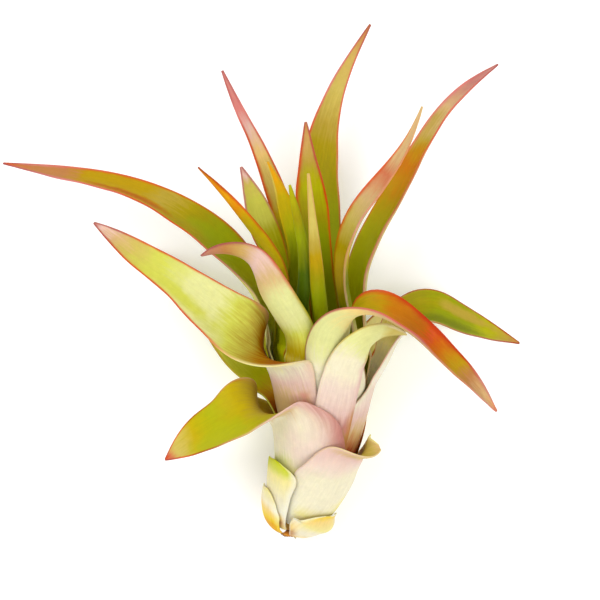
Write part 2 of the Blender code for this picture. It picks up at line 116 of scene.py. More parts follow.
# The power with which a leaf thins towards its margins: the higher, the later.
MARGIN_ROUNDNESS = 6
TIP_HALF_WIDTH = 0.15
TIGHTEST_CHANNEL = 1.2

# Shares of the sheath's length between which a leaf turns from sheath to blade.
FREED = (0.75, 1.25)
NARROWED = (0.85, 1.35)
OPENED = (0.95, 1.5)
CLUNG = (1.15, 1.5)
# How far from its midrib, in half-widths, a leaf clings to the stem in full.
CLINGS_FROM = 0.7

# Where along a leaf, in sheath lengths, its cross-sections lie closest together, and how far that goes.
NECK = 1.25
NECK_LENGTH = 0.3
NECK_CROWDING = 1.0

# Heights between which the crown opens: below them a leaf stays outside its own cone.
CROWN_OPENS = (50.0, 60.0)
SLIDE = 0.4

# How finely a leaf is laid out, and how much closer together its strips lie at the margins.
STATIONS = 110
STRIPS = 28
MARGIN_CROWDING = 0.35
FLOOR_CLEARANCE = 0.02

# The waves of the margins: lengths along the leaf, height, and where they start in sheath lengths.
WAVE_SEED = 40
WAVE_LENGTHS = (11.0, 17.0, 29.0)
WAVE_HEIGHT = 0.25
WAVES_START = (1.2, 2.0)
# Half-width of a blade above which its margins wave by their full height.
FULL_WAVE_REACH = 5.0

# How much brighter than its own colour a surface looks in the studio's light.
EXPOSED = 1.35
# How much purer a surface's own colour is than it looks, since pale reflections wash it out a little.
RICHNESS = 1.1

# Scales of the noises on a leaf: drift of its colours, blotches, mottling and its skin's pale scales.
DRIFT_SCALE = 0.11
BLOTCH_SCALE = 0.3
MOTTLE_SCALE = 0.7
SCALES_SCALE = 4.5
# How often the skin's scales, a leaf's veins and dry fibres come across and along.
SCALES_PACE = (1.0, 0.6, 1.0)
VEIN_PACE = (1.9, 0.16, 1.0)
DRY_FIBRE_PACE = (2.4, 0.35, 1.0)
# How far the colours wander along a leaf, as a share of its length.
WANDER = 0.12
# What a noise is multiplied by and what is then added, where it shifts colours along a piece, frays the edge
# of a margin or patch, shades a surface or roughens it.
VEINS_SHIFT = (0.7, -0.85)
DRY_SHIFT = (0.4, -0.2)
MARGIN_FRAY = (1.2, 0.4)
PATCH_FRAY = (1.0, -0.5)
VEINS_SHADE = (0.2, 0.92)
MOTTLE_SHADE = (0.16, -0.08)
FIBRES_SHADE = (0.9, 0.55)
PAPER_SHADE = (0.01, 0.95)
MOTTLE_ROUGHNESS = (0.14, 0.46)
# Where a patch, a scale and the line at a margin's edge are gone and where they are full.
PATCH_EDGE = (1.2, 0.3)
SCALES_EDGE = (0.4, 0.05)
EDGE_LINE = (0.55, 0.1)
# How much lighter than the skin its scales are, and how strong the line is.
SCALES_SHADE = 0.08
LINE_STRENGTH = 0.5
# Reaches of a margin's colour at which its line is gone and full.
LINED_MARGIN = (0.02, 0.05)
# How high veins and scales stand in the skin's relief.
VEINS_RELIEF = 0.8
SCALES_RELIEF = 0.25
# Depths of the relief in leaf skin and dry fibre, in metres.
SKIN_DEPTH = 0.00015
DRY_DEPTH = 0.0003

CAMERA_PLACE = (9.95, -4.59, 730.0)
CAMERA_LENS = 168.0
CAMERA_SENSOR = 36.0
FLOOR_SIZE = 8.0
FLOOR_DEPTH = 0.0001
FLOOR_GRAIN = 900.0
# The table is backlit a little, as a white studio table is.
FLOOR_GLOW = 0.12
WORLD_STRENGTH = 0.72
# Each light's name, place and width in metres, and power in watts. All are aimed at one place.
LIGHTS = (
    ("key", (-0.7, 0.6, 1.35), 1.1, 12.5),
    ("fill", (0.95, -0.35, 1.2), 1.4, 7.0),
    ("front", (0.1, -1.1, 1.1), 1.2, 5.0),
)
AIM = (0.0, 0.0, 0.02)
WHITE = (1.0, 1.0, 1.0, 1.0)


class Leaf(NamedTuple):
    """One leaf.

    azimuth: round the stem from its upper side, towards +X
    root: height of its foot above the stem's cut end
    sheath: height of the sheath
    wrap: how far the sheath reaches round the stem to its left and right
    channel: half of the arc that a cross-section of the blade follows
    blade: rows of x, y, z, width left and right of the midrib, and the upper face's turn from straight up
    opened: shares of the sheath's length between which the cross-section opens to the blade's channel
    clings: whether its right margin stays on the stem a little longer than the rest
    swell: how much further than others its sheath stands off the stem
    """

    name: str
    azimuth: float
    root: float
    sheath: float
    wrap: tuple
    channel: float
    blade: tuple
    opened: tuple = OPENED
    clings: bool = False
    swell: float = 0.0
    thickness: float = SHEATH_THICKNESS


LEAVES = (
    Leaf("bract_01_right_lobe", 50, 0.3, 3, (58, 58), 55, (
        (6, -57.4, 14.5, 8, 7.4, 130), (6.4, -56.2, 15, 6.4, 5.8, 130), (6.6, -55.5, 15.3, 4.2, 3.8, 130),
        (6.8, -55, 15.5, 1.4, 1.2, 130),
    ), swell=1.2, thickness=0.8),
    Leaf("bract_02_left_lobe", -62, 0.2, 5, (66, 34), 55, (
        (-7.9, -51.2, 13.8, 7, 4.2, -118), (-7.8, -49.6, 14.6, 5, 3.4, -118),
        (-7.7, -48.7, 15.1, 3, 2.2, -118), (-7.6, -48.1, 15.3, 0.8, 0.6, -118),
    ), swell=1.8, thickness=0.8),
    Leaf("bract_03_under", 175, 0.5, 5, (42, 40), 55, (
        (2.5, -49.8, 0.1, 5.5, 5.5, 5), (3.6, -46.7, 0.4, 3.8, 3.8, 5), (4.1, -45.1, 0.7, 1.2, 1.2, 5),
    ), swell=1.4, thickness=1.3),
    Leaf("bract_04_green_left", -52, 1.4, 12.3, (42, 32), 42, (
        (-5.6, -44.4, 18.2, 6.4, 6.8, -128), (-5.4, -42.6, 18.9, 5.4, 6, -128),
        (-5.3, -41.4, 19.5, 3.8, 4.4, -128), (-5.2, -40.6, 19.8, 1.2, 1.6, -128),
    ), swell=1.05, thickness=0.7),
    Leaf("leaf_01_curled_bract", 55, 3, 19.5, (81, 60), 75, (
        (15.1, -40, 21.2, 9, 7.7, 100), (17.5, -38.4, 22.2, 5.2, 5.6, 60),
        (20.2, -37.3, 22.3, 0.9, 0.9, 30),
    ), swell=0.25),
    Leaf("leaf_02_lower_left", -75, 5, 24, (40, 111), 35, (
        (-8.7, -29.3, 22.4, 10, 14.6, -100), (-12.5, -27.6, 24.5, 9.4, 12, -50),
        (-18.7, -30.1, 24.5, 6.6, 8.8, -35), (-24.2, -33.4, 22, 5.2, 6, -25),
        (-28.9, -36.5, 19, 3.5, 3.9, -20), (-34.4, -40.8, 15, 0.3, 0.3, -20),
    ), opened=(1.25, 1.7), clings=True),
    Leaf("leaf_03_under_right", 140, 7, 22, (34, 50), 40, (
        (14.3, -21, 8.2, 4.8, 5, 45), (17.5, -10, 6, 4.3, 3.2, 15), (25, -3.2, 4.5, 4.2, 3, 0),
        (34, -2.5, 3, 3.4, 3.4, 0), (46, -6.5, 0, 0.6, 0.6, 0),
    )),
    Leaf("leaf_04_front", 15, 9, 30, (24, 22), 32, (
        (10.6, -19, 36.5, 5.2, 5.2, 168), (12.7, -13.7, 39.5, 4.4, 4.9, 160),
        (16, -10.6, 40, 4.2, 4.5, 140), (20.3, -8.7, 37.5, 3.7, 3.7, 120),
        (24, -8.5, 34.5, 2.2, 2.2, 105), (26.5, -8.7, 32, 0.3, 0.3, 100),
    ), swell=-0.45),
    Leaf("leaf_05_under_left", -130, 11, 24, (45, 44), 40, (
        (-9, -18.6, 7.1, 6.4, 7.6, -25), (-16, -10.3, 8.3, 6.4, 7.3, -10), (-23.5, -1, 6, 4.6, 5, 0),
        (-31.5, 6.5, 3, 3, 3, 0), (-41, 12.5, 0, 0.6, 0.6, 0),
    )),
    Leaf("leaf_06_right", 105, 13, 24, (82, 45), 45, (
        (21.6, -15.5, 20.5, 7.4, 6.4, 76), (26, -6.2, 24, 7, 6.8, 58), (31.2, -3.2, 24.8, 6.2, 6.7, 45),
        (38.4, -4.7, 23.2, 5.5, 5.3, 40), (46.3, -7.7, 19.5, 4, 3.6, 40), (56, -11, 15, 0.3, 0.3, 40),
    ), swell=-0.3),
    Leaf("leaf_07_broad_left", -60, 15, 28, (50, 56), 35, (
        (-8.1, -15.4, 30.8, 8.5, 13.9, -101), (-12.2, -10, 34.5, 9.2, 12, -47),
        (-18.6, -4.6, 35.5, 7.6, 9, -26), (-26, 1.2, 34, 5.8, 6.4, -18), (-33, 6.5, 31, 4.6, 4.6, -15),
        (-40, 11, 28, 3.7, 3.7, -15), (-47, 16, 25, 2.1, 2.1, -15), (-52, 19.5, 23, 0.3, 0.3, -15),
    ), opened=(1.25, 1.7), clings=True),
    Leaf("leaf_08_under_top", 170, 17, 22, (50, 45), 40, (
        (6.5, -6, 9, 5.5, 5.5, 8), (5, 13, 6, 4.8, 4.8, 0), (5.5, 29, 3, 3.6, 3.6, 0),
        (8, 45, 0, 0.6, 0.6, 0),
    ), swell=-0.4),
    Leaf("leaf_09_arched_right", 18, 19, 25, (46, 46), 62, (
        (7.5, -12.5, 38, 6.6, 6.8, 165), (10.6, -5.6, 43, 5.2, 6.8, 125), (17, -2.9, 44.5, 5.2, 6.8, 70),
        (26.4, -6.2, 42, 5.6, 5.2, 50), (35.3, -13.5, 37, 3.9, 3.8, 35), (43.5, -21.5, 30, 2.6, 2.6, 35),
        (49.5, -28, 25, 0.3, 0.3, 35),
    ), swell=-0.2),
    Leaf("leaf_10_long_left", -105, 21, 24, (40, 62), 40, (
        (-10.8, 0.2, 22.4, 6.8, 5.5, -75), (-19.7, 12.6, 25.2, 6.9, 6.2, -50),
        (-30.6, 21.6, 25, 5.5, 5.9, -45), (-44.5, 28.3, 21, 3.9, 4.4, -45),
        (-61.5, 32.2, 17, 2.5, 3, -45), (-76, 35, 13, 0.3, 0.3, -45),
    )),
    Leaf("leaf_11_tall_right", 120, 23, 22, (48, 26), 50, (
        (16.6, 9.3, 24.2, 5.6, 5.6, 60), (22.3, 21.4, 24.6, 5, 5.5, 60), (27.7, 32, 25, 4.4, 4, 50),
        (35.3, 45.6, 25, 3.8, 2.8, 50), (42.8, 53.7, 24, 2.6, 2.1, 50), (50, 59.5, 23, 0.3, 0.3, 50),
    )),
    Leaf("leaf_12_curled_front", -24, 25, 22, (26, 44), 50, (
        (-0.4, -8.6, 37, 5.4, 4.4, 204), (-4.1, -2, 41.5, 5.4, 4.6, 205), (-7.5, 4.1, 44, 4.8, 4.2, 208),
        (-11.5, 10, 44, 3.4, 3.4, 215), (-15.8, 11.9, 42, 2.5, 2.5, 220), (-20.5, 12, 39, 1.6, 1.6, 225),
        (-24.5, 11, 35, 0.3, 0.3, 225),
    ), swell=-0.2),
    Leaf("leaf_13_tall_back", 172, 27, 20, (24, 24), 40, (
        (4.5, 4, 13, 6, 6, 5), (4.5, 15.5, 12, 6.3, 6.3, 0), (4.8, 33, 12, 5.4, 5.3, 0),
        (7.4, 48, 12.5, 3.2, 3.2, 0), (10.3, 56, 13, 2.1, 2.1, 0), (18, 70.5, 14, 0.3, 0.3, 0),
    )),
    Leaf("leaf_14_back_left", -116, 28, 18, (17, 20), 40, (
        (-5.5, 7, 22, 3.4, 4.2, -45), (-9.7, 19, 23, 4, 3.9, -15), (-11.6, 25.4, 23.5, 2.8, 2.8, -5),
        (-14.9, 33.6, 23.5, 0.3, 0.3, 0),
    ), swell=-0.3),
    Leaf("leaf_15_slim_right", 75, 29.5, 16, (22, 22), 50, (
        (11.3, 9.5, 32, 4.2, 4.2, 70), (14.9, 21.2, 36, 3.8, 3.7, 50), (21.4, 30.2, 39.5, 3, 2.9, 45),
        (27, 39.5, 42, 1.6, 1.4, 45), (30, 47.5, 43, 0.3, 0.3, 50),
    ), swell=-1),
    Leaf("leaf_16_red_left", -156, 30.5, 15, (22, 22), 45, (
        (-2.3, 14, 17, 3.4, 3.4, -10), (-7.1, 30, 19.5, 2.7, 2.7, 0), (-11.3, 40, 23, 1.9, 1.8, 0),
        (-15.8, 49, 27, 1.2, 1.1, 0), (-19.5, 57.5, 28.5, 0.3, 0.3, 0),
    ), swell=-0.9),
    Leaf("leaf_17_orange_left", -80, 31, 15, (22, 22), 55, (
        (-6, 8.5, 32.5, 3.4, 3.4, -105), (-11.3, 16.3, 34.5, 3.4, 3.4, -110),
        (-18.8, 25.7, 37, 2.2, 2.1, -110), (-25.2, 32.8, 38, 0.3, 0.3, -110),
    ), swell=-0.6),
    Leaf("leaf_18_inner_back", 165, 34, 12, (25, 25), 40, (
        (4.2, 13, 29.5, 3.9, 4.2, 0), (2.8, 26, 35, 4, 4.2, 0), (2.2, 32.5, 38.5, 2.8, 3, 0),
        (1.4, 43.6, 44, 0.3, 0.3, 0),
    ), swell=-1.6),
    Leaf("leaf_19_inner_left", -125, 33.5, 12, (25, 25), 45, (
        (-1.3, 15, 33.5, 2.6, 2.3, 0), (-3.5, 23, 38, 2.2, 2.2, 0), (-5, 27.5, 40, 1.4, 1.4, 0),
        (-8, 34, 42, 0.3, 0.3, 0),
    ), swell=-2),
    Leaf("leaf_20_heart_left", -60, 36, 9, (25, 25), 50, (
        (1, 8, 40, 1.7, 1.7, 190), (0, 16.5, 44, 1.4, 1.4, 190), (-1.5, 23.5, 47, 0.9, 0.9, 190),
        (-2.5, 28, 49, 0.3, 0.3, 190),
    ), swell=-2.7),
    Leaf("leaf_21_heart_front", 10, 35.5, 9, (25, 25), 50, (
        (4.5, 2.5, 39, 2, 2, 180), (3.8, 11, 44.5, 1.7, 1.7, 180), (3.3, 16.5, 48, 1.3, 1.3, 180),
        (2, 30.5, 54, 0.3, 0.3, 180),
    ), swell=-2.7),
)


# Colours as they look in the studio's light, red, green and blue from 0 to 255.
COLOURS = {
    "milk": (253, 249, 228), "cream": (250, 241, 210), "butter": (250, 238, 168), "yellow": (248, 216, 95),
    "amber": (240, 180, 75), "blush": (247, 225, 208), "shell": (238, 204, 192), "rose": (226, 148, 142),
    "coral": (220, 110, 82), "red": (196, 66, 44), "brick": (165, 62, 24), "rust": (192, 112, 26),
    "orange": (212, 130, 30), "tangerine": (236, 156, 52), "mustard": (198, 164, 50),
    "gold": (208, 186, 66), "straw": (218, 200, 116), "sand": (224, 192, 142), "mauve": (206, 146, 136),
    "plum": (168, 92, 92), "pale_lime": (236, 236, 168), "lime": (222, 224, 112),
    "bright_lime": (208, 216, 62), "green": (158, 168, 30), "olive": (172, 158, 16),
    "moss": (132, 140, 12), "grass": (112, 140, 10), "deep": (84, 108, 6), "umber": (122, 76, 28),
    "bark": (92, 52, 22), "khaki": (196, 172, 84), "clay": (200, 144, 96), "pear": (190, 190, 54),
    "peach": (252, 222, 150), "biscuit": (212, 176, 112), "henna": (176, 92, 22),
    "salmon": (220, 138, 106),
}


class Look(NamedTuple):
    """The colours of one leaf. Each stop is a percentage of the leaf's length and the colour there.

    slot: the record's material slot; not used
    lower, upper: stops along the middle of each face
    left, right: stops along each margin, with the percentage of the half-width that the colour reaches in;
        the right margin is like the left where none is given
    patches: (face, along, across, reach along, reach across, colour), the face 0 for lower and 1 for upper
    """

    slot: str
    lower: str
    upper: str
    left: str = "0 sand 0, 100 sand 0"
    right: str = ""
    patches: tuple = ()


# The stops of each dried piece, and the scale of its blotches.
DRIED_LOOKS = {
    "stem": ("0 bark, 18 umber, 30 rust, 40 amber, 100 straw", 0.51),
    "dried_shred": ("0 umber, 35 rust, 70 tangerine, 100 umber", 0.52),
    "dried_root": ("0 umber, 40 sand, 100 cream", 0.53),
}
# The underside of two leaves, and either face of the one with the orange tip.
UNDERSIDE = "0 cream, 30 pale_lime, 50 lime, 80 green, 95 mauve, 100 coral"
ORANGE_LEFT = (
    "0 green, 25 bright_lime, 34 green, 50 olive, 58 gold, 74 gold, 80 tangerine, 86 amber, 92 tangerine, "
    "100 orange"
)
LOOKS = {
    "bract_01_right_lobe": Look("cream_bract",
        lower="0 peach, 30 cream, 42 cream, 55 butter, 85 peach, 100 yellow",
        upper="0 umber, 60 yellow, 100 butter",
        left="35 clay 40, 45 peach 40, 60 milk 40, 100 butter 30",
        right="60 cream 50, 100 milk 60",
    ),
    "bract_02_left_lobe": Look("cream_bract",
        lower="0 biscuit, 12 amber, 30 amber, 42 yellow, 60 peach, 75 cream, 100 butter",
        upper="0 umber, 70 amber, 100 butter",
        left="0 yellow 30, 40 peach 40, 65 milk 60, 100 milk 50",
        right="0 amber 30, 30 yellow 40, 50 butter 40, 65 milk 50, 100 butter 50",
    ),
    "bract_03_under": Look("cream_bract",
        lower="0 amber, 30 butter, 70 cream, 100 straw",
        upper="0 umber, 100 butter",
    ),
    "bract_04_green_left": Look("cream_bract",
        lower="0 butter, 8 peach, 18 clay, 26 peach, 35 milk, 50 cream, 80 butter, 88 lime, "
        "100 bright_lime",
        upper="0 mustard, 100 bright_lime",
        left="40 yellow 20, 55 yellow 50, 65 sand 40, 75 butter 30, 84 bright_lime 60, 92 pear 80, "
        "100 pear 90",
        right="0 peach 20, 30 milk 40, 90 cream 30, 100 lime 20",
    ),
    "leaf_01_curled_bract": Look("cream_bract",
        lower="0 milk, 20 butter, 30 cream, 62 cream, 70 blush, 77 shell, 82 sand, 88 straw, 100 sand",
        upper="0 umber, 60 henna, 70 orange, 76 gold, 92 straw, 100 sand",
        left="0 milk 40, 55 cream 40, 68 blush 30, 78 shell 30, 100 sand 20",
        right="0 butter 20, 35 blush 30, 50 shell 60, 70 shell 60, 78 sand 50, 85 butter 50, "
        "100 butter 40",
        patches=((0, 0.25, 0.5, 0.2, 0.6, "butter"),),
    ),
    "leaf_02_lower_left": Look("blushed_leaf",
        lower="0 cream, 20 butter, 26 pale_lime, 30 cream, 45 cream, 50 sand, 56 lime, 70 straw, "
        "90 sand, 100 coral",
        upper="0 umber, 36 rust, 44 mustard, 52 khaki, 60 gold, 70 pear, 80 gold, 92 straw, 97 salmon, "
        "100 coral",
        left="35 khaki 10, 50 straw 30, 58 rust 5, 78 brick 6, 90 coral 12, 100 plum 50",
        right="20 mauve 30, 40 mauve 35, 50 shell 25, 58 sand 10, 78 brick 6, 90 coral 12, 100 plum 50",
        patches=((1, 0.68, 0.6, 0.2, 0.6, "pear"), (0, 0.34, 0.7, 0.12, 0.55, "blush")),
    ),
    "leaf_03_under_right": Look("green_leaf",
        lower=UNDERSIDE,
        upper="0 umber, 22 henna, 28 sand, 36 sand, 48 lime, 60 butter, 70 butter, 80 green, 92 straw, "
        "100 coral",
        left="40 rust 10, 70 brick 6, 100 coral 50",
    ),
    "leaf_04_front": Look("blushed_leaf",
        lower="0 cream, 20 shell, 33 biscuit, 38 mauve, 45 shell, 55 blush, 65 cream, 72 cream, "
        "78 pale_lime, 85 pale_lime, 92 straw",
        upper="0 umber, 45 olive, 80 khaki, 100 straw",
        left="30 milk 20, 40 shell 10, 62 cream 20, 80 straw 10, 90 cream 30, 100 cream 40",
        right="30 clay 60, 42 clay 50, 52 shell 50, 68 shell 40, 76 khaki 35, 90 khaki 40, 100 khaki 30",
    ),
    "leaf_05_under_left": Look("green_leaf",
        lower=UNDERSIDE,
        upper="0 umber, 26 henna, 31 rust, 36 mustard, 42 pear, 60 lime, 70 mustard, 85 straw, 100 coral",
        left="40 rust 8, 70 brick 6, 100 coral 50",
        right="40 lime 10, 70 brick 6, 100 coral 50",
    ),
    "leaf_06_right": Look("green_leaf",
        lower="0 cream, 18 coral, 25 sand, 30 shell, 38 blush, 46 milk, 60 cream, 70 pale_lime, "
        "85 straw, 100 clay",
        upper="0 umber, 33 lime, 40 cream, 50 butter, 57 straw, 64 olive, 72 green, 80 green, 88 pear, "
        "95 khaki, 100 clay",
        left="20 sand 10, 35 cream 20, 60 milk 30, 70 sand 12, 85 mauve 12, 95 mauve 25, 100 brick 50",
        right="30 shell 10, 50 coral 5, 62 brick 7, 85 brick 9, 100 brick 50",
        patches=((1, 0.73, -0.5, 0.14, 0.5, "moss"), (1, 0.8, 0.5, 0.14, 0.4, "khaki")),
    ),
    "leaf_07_broad_left": Look("blushed_leaf",
        lower="15 cream, 21 sand, 26 sand, 32 shell, 38 cream, 42 butter, 50 lime, 70 straw, 90 sand, "
        "100 mauve",
        # The umber and henna at the neck of the upper face give the axil's brownish tone and also paint the
        # shade that lies in the leaf's channel there.
        upper="34 umber, 40 henna, 46 khaki, 51 lime, 58 pale_lime, 68 pale_lime, 77 lime, 86 straw, "
        "93 sand, 97 shell, 100 mauve",
        left="30 henna 10, 42 sand 30, 52 coral 6, 62 coral 10, 72 coral 14, 86 coral 20, 95 plum 40, "
        "100 plum 60",
        right="10 rose 25, 30 shell 20, 45 butter 15, 58 coral 10, 72 coral 14, 86 coral 20, 100 plum 50",
        patches=((1, 0.7, 0.5, 0.2, 0.4, "lime"), (0, 0.2, 0.7, 0.1, 0.4, "rose")),
    ),
    "leaf_08_under_top": Look("green_leaf",
        lower="0 cream, 30 pale_lime, 50 green, 85 straw, 95 mauve, 100 plum",
        upper="0 umber, 30 grass, 60 green, 85 straw, 100 plum",
        left="40 brick 8, 80 coral 12, 100 plum 50",
    ),
    "leaf_09_arched_right": Look("blushed_leaf",
        lower="33 cream, 39 pale_lime, 46 pale_lime, 52 peach, 57 sand, 66 biscuit, 75 straw, 90 straw, "
        "100 sand",
        upper="0 umber, 30 grass, 42 olive, 50 olive, 55 mustard, 60 orange, 65 rust, 70 coral, "
        "76 orange, 83 mustard, 88 clay, 95 sand, 100 coral",
        left="20 straw 10, 42 mauve 10, 52 mauve 15, 60 rose 20, 68 mauve 35, 80 sand 35, 100 rose 50",
        right="30 umber 10, 46 brick 12, 56 coral 25, 64 red 35, 74 red 40, 84 red 25, 94 mauve 40, "
        "100 coral 50",
    ),
    "leaf_10_long_left": Look("green_leaf",
        lower="0 cream, 25 pale_lime, 40 lime, 60 green, 80 mauve, 100 coral",
        upper="0 umber, 28 pear, 40 pear, 48 green, 55 olive, 64 khaki, 72 mustard, 80 mustard, 86 clay, "
        "93 clay, 100 coral",
        left="30 rust 10, 45 rust 15, 60 rust 12, 70 coral 25, 82 coral 35, 92 rose 60, 100 plum 80",
        right="30 butter 20, 45 mauve 12, 55 coral 12, 70 coral 20, 85 rose 40, 100 plum 80",
        patches=((1, 0.7, 0.5, 0.12, 0.35, "rust"), (1, 0.5, -0.1, 0.08, 0.5, "green")),
    ),
    "leaf_11_tall_right": Look("green_leaf",
        lower="0 cream, 20 milk, 35 pale_lime, 48 straw, 70 sand, 80 salmon, 90 clay, 100 coral",
        # The pear and bright lime near the base of the upper face are painted light: lighter than the leaf's
        # own colour, to lift the deep shade that falls there.
        upper="0 umber, 28 pear, 42 bright_lime, 52 pear, 61 mustard, 69 orange, 77 khaki, 85 sand, "
        "93 mauve",
        left="30 sand 20, 45 mauve 25, 60 mauve 20, 72 coral 15, 85 coral 20, 100 plum 70",
        right="30 sand 10, 60 orange 10, 74 salmon 25, 84 rose 50, 92 rose 60, 100 plum 80",
    ),
    "leaf_12_curled_front": Look("blushed_leaf",
        lower="0 cream, 30 butter, 38 gold, 46 lime, 54 pale_lime, 62 pale_lime, 69 sand, 76 shell, "
        "84 biscuit, 90 clay, 100 mauve",
        upper="0 umber, 50 moss, 80 olive, 88 clay, 100 plum",
        left="30 lime 10, 50 butter 30, 66 peach 30, 74 shell 40, 82 shell 50, 90 clay 30, 100 plum 50",
        right="30 lime 10, 48 bright_lime 20, 58 khaki 30, 66 salmon 25, 74 coral 25, 84 plum 35, "
        "100 plum 60",
    ),
    "leaf_13_tall_back": Look("green_leaf",
        lower="0 cream, 30 pale_lime, 50 green, 75 straw, 90 mauve, 100 plum",
        upper="0 moss, 35 green, 52 green, 64 olive, 74 khaki, 84 straw, 92 biscuit, 100 clay",
        left="40 umber 6, 60 sand 10, 78 coral 14, 90 coral 30, 100 plum 60",
        right="45 brick 10, 58 red 18, 72 coral 20, 85 rose 30, 100 plum 70",
    ),
    "leaf_14_back_left": Look("green_leaf",
        lower="0 cream, 40 lime, 70 green, 90 mauve, 100 plum",
        # The pear and bright lime near the base of the upper face are painted light: lighter than the leaf's
        # own colour, to lift the deep shade that falls there.
        upper="0 moss, 30 pear, 40 bright_lime, 60 green, 72 pear, 80 lime, 88 lime, 93 straw, 97 shell, "
        "100 mauve",
        left="50 moss 10, 70 rust 8, 85 khaki 20, 93 mauve 40, 100 plum 70",
        right="50 olive 10, 70 rust 10, 85 mauve 15, 93 mauve 50, 100 plum 80",
    ),
    "leaf_15_slim_right": Look("green_leaf",
        lower="0 cream, 30 butter, 38 green, 46 moss, 52 gold, 60 gold, 68 pear, 76 orange, 82 orange, "
        "90 khaki, 100 straw",
        upper="0 grass, 38 green, 46 yellow, 54 gold, 63 straw, 71 sand, 78 salmon, 86 sand",
        left="40 shell 15, 50 sand 25, 64 shell 25, 80 sand 20, 100 sand 40",
        right="40 olive 10, 55 orange 30, 66 coral 30, 76 coral 45, 86 coral 35, 100 sand 50",
    ),
    "leaf_16_red_left": Look("red_leaf",
        lower="0 cream, 30 lime, 60 gold, 80 coral, 100 plum",
        upper="0 grass, 36 green, 50 olive, 58 gold, 66 straw, 74 peach, 82 shell, 90 rose, 100 mauve",
        left="40 olive 10, 55 tangerine 30, 68 coral 20, 80 rose 35, 90 rose 60, 100 plum 80",
        right="40 olive 10, 55 orange 40, 66 coral 45, 80 coral 45, 90 rose 60, 100 plum 90",
    ),
    "leaf_17_orange_left": Look("red_leaf",
        lower=ORANGE_LEFT,
        upper=ORANGE_LEFT,
        left="50 gold 10, 70 yellow 30, 80 tangerine 30, 100 orange 50",
        right="45 rust 12, 65 rust 20, 80 coral 30, 100 brick 70",
    ),
    "leaf_18_inner_back": Look("red_leaf",
        lower="0 cream, 30 lime, 60 gold, 85 coral, 100 rose",
        upper="0 grass, 30 green, 60 green, 68 olive, 78 pear, 86 khaki, 93 biscuit, 100 clay",
        left="40 olive 6, 55 coral 14, 75 red 20, 90 plum 40, 100 plum 70",
        right="40 rust 10, 60 orange 20, 75 coral 35, 90 coral 50, 100 plum 90",
    ),
    "leaf_19_inner_left": Look("red_leaf",
        lower="0 cream, 40 moss, 70 gold, 90 tangerine, 100 rust",
        upper="0 grass, 40 green, 50 green, 60 moss, 68 green, 74 pear, 82 gold, 88 gold, 94 amber, "
        "100 tangerine",
        left="50 grass 8, 75 rust 12, 88 orange 35, 100 orange 60",
        right="50 moss 10, 80 gold 30, 100 straw 60",
    ),
    "leaf_20_heart_left": Look("green_leaf",
        lower="60 deep, 68 moss, 76 green, 85 olive, 100 pear",
        upper="0 deep, 60 grass, 100 green",
        left="50 grass 10, 70 green 20, 100 khaki 30",
        right="50 grass 10, 100 green 30",
    ),
    "leaf_21_heart_front": Look("blushed_leaf",
        lower="0 moss, 36 green, 50 green, 58 olive, 65 mustard, 72 khaki, 80 straw",
        upper="0 deep, 60 moss, 100 gold",
        left="40 moss 20, 60 green 30, 85 pear 30, 100 lime 40",
        right="50 moss 20, 66 salmon 20, 80 salmon 30, 100 rose 50",
    ),
}


def unit(vector):
    """The vector, or each row of vectors, at length 1."""
    vector = np.asarray(vector, float)
    return vector / np.linalg.norm(vector, axis=-1, keepdims=True)


def ramp(x, start, end):
    """0 up to start, 1 from end on and an S-shaped rise between."""
    x = np.clip((x - start) / (end - start), 0.0, 1.0)
    return x * x * (3.0 - 2.0 * x)


def mix(a, b, share):
    return a + (b - a) * share


def square_to(vectors, directions):
    """Each vector without its part along its direction, at length 1."""
    return unit(vectors - (vectors * directions).sum(-1, keepdims=True) * directions)


class Path:
    """A natural cubic spline through rows of numbers, whose first three are a point in space."""

    def __init__(self, rows):
        self.rows = np.asarray(rows, float)
        chords = np.linalg.norm(np.diff(self.rows[:, :3], axis=0), axis=1)
        self.knots = np.concatenate(([0.0], np.cumsum(chords)))
        self.bends = self._second_derivatives(chords)

    def _second_derivatives(self, chords):
        count = len(self.rows)
        matrix = np.eye(count)
        slopes = np.diff(self.rows, axis=0) / chords[:, None]
        jumps = np.zeros_like(self.rows)
        for i in range(1, count - 1):
            matrix[i, i - 1 : i + 2] = chords[i - 1], 2.0 * (chords[i - 1] + chords[i]), chords[i]
            jumps[i] = 6.0 * (slopes[i] - slopes[i - 1])
        return np.linalg.solve(matrix, jumps)

    def at(self, distance):
        """The rows at these distances along the chords."""
        distance = np.asarray(distance, float)
        i = np.clip(np.searchsorted(self.knots, distance) - 1, 0, len(self.knots) - 2)
        step = (self.knots[i + 1] - self.knots[i])[..., None]
        b = (distance[..., None] - self.knots[i][..., None]) / step
        a = 1.0 - b
        bend = (a**3 - a) * self.bends[i] + (b**3 - b) * self.bends[i + 1]
        return a * self.rows[i] + b * self.rows[i + 1] + bend * step**2 / 6.0

    def direction(self, distance, reach=0.05):
        """The curve's unit tangents at these distances."""
        ahead = self.at(np.asarray(distance) + reach)
        behind = self.at(np.asarray(distance) - reach)
        return unit((ahead - behind)[..., :3])


AXIS = Path(STEM_AXIS)


def stem_frame(height):
    """Centre, direction, upper side and right side of the stem at heights above its cut end."""
    along = AXIS.direction(height)
    right = unit(np.cross(along, UP))
    return AXIS.at(height), along, np.cross(right, along), right


def outward(azimuth, upper, right):
    """The direction away from the stem's axis at an azimuth."""
    angle = np.radians(azimuth)[..., None]
    return np.cos(angle) * upper + np.sin(angle) * right


def stem_points(rows):
    """Points from heights, azimuths and distances from the stem's axis."""
    height, azimuth, distance = np.moveaxis(np.array(rows, float), -1, 0)
    centre, _, upper, right = stem_frame(height)
    return centre + distance[..., None] * outward(azimuth, upper, right)


def cone_radius(leaf, climb):
    """How far the middle of a sheath stands from the stem's axis, this far above the leaf's root."""
    swollen = (SHEATH_SWELL + leaf.swell) * (1.0 - np.exp(-np.maximum(climb, 0.0) / SHEATH_SWELL_LENGTH))
    return SHEATH_SEAT + swollen + SHEATH_OPENING * climb


